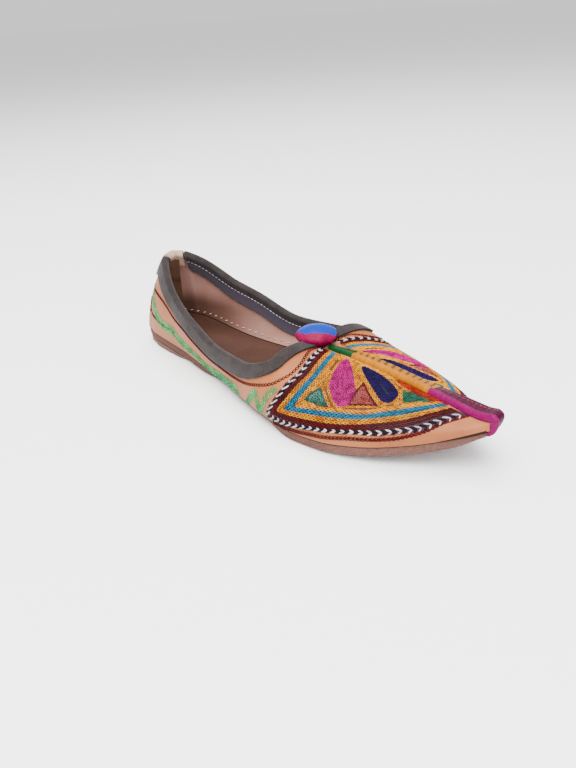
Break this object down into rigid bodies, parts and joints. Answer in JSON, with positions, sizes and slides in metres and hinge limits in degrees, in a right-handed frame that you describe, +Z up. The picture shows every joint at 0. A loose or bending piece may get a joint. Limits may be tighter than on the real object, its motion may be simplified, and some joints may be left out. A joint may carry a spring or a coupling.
{
  "type": "mojari shoe",
  "caption": "Pointed leather mojari slipper with suede collar binding, embroidered vamp, wrapped ridge cord, round pompom and flat leather sole.",
  "frame": {"origin": "middle of the shoe's bounding box, on the plane that the sole stands on", "axes": "+X towards the pointed toe, +Y across the shoe, +Z up out of the collar"},
  "size_m": [0.2612, 0.0838, 0.0577],
  "materials": {
    "upper_leather": "tan leather with chain-stitch embroidery in bright thread",
    "sole_leather": "raw sole leather, rough cut edge",
    "stacked_leather": "stacked raw leather, rough cut edge",
    "insole_leather": "smooth brown insole leather",
    "grey_suede": "soft grey suede binding with one line of white stitching",
    "cream_leather": "folded undyed leather",
    "green_thread": "glossy wrapped thread",
    "yellow_thread": "glossy wrapped thread",
    "magenta_thread": "glossy wrapped thread",
    "felt": "glossy felted wool in magenta and blue"
  },
  "bodies": {
    "root": {"upper": "upper_leather", "outsole": "sole_leather", "heel_lift": "stacked_leather", "insole": "insole_leather", "collar_binding": "grey_suede", "back_tab": "cream_leather", "ridge_cord_green": "green_thread", "ridge_cord_yellow": "yellow_thread", "ridge_cord_magenta": "magenta_thread", "pompom": "felt"}
  },
  "joints": []
}
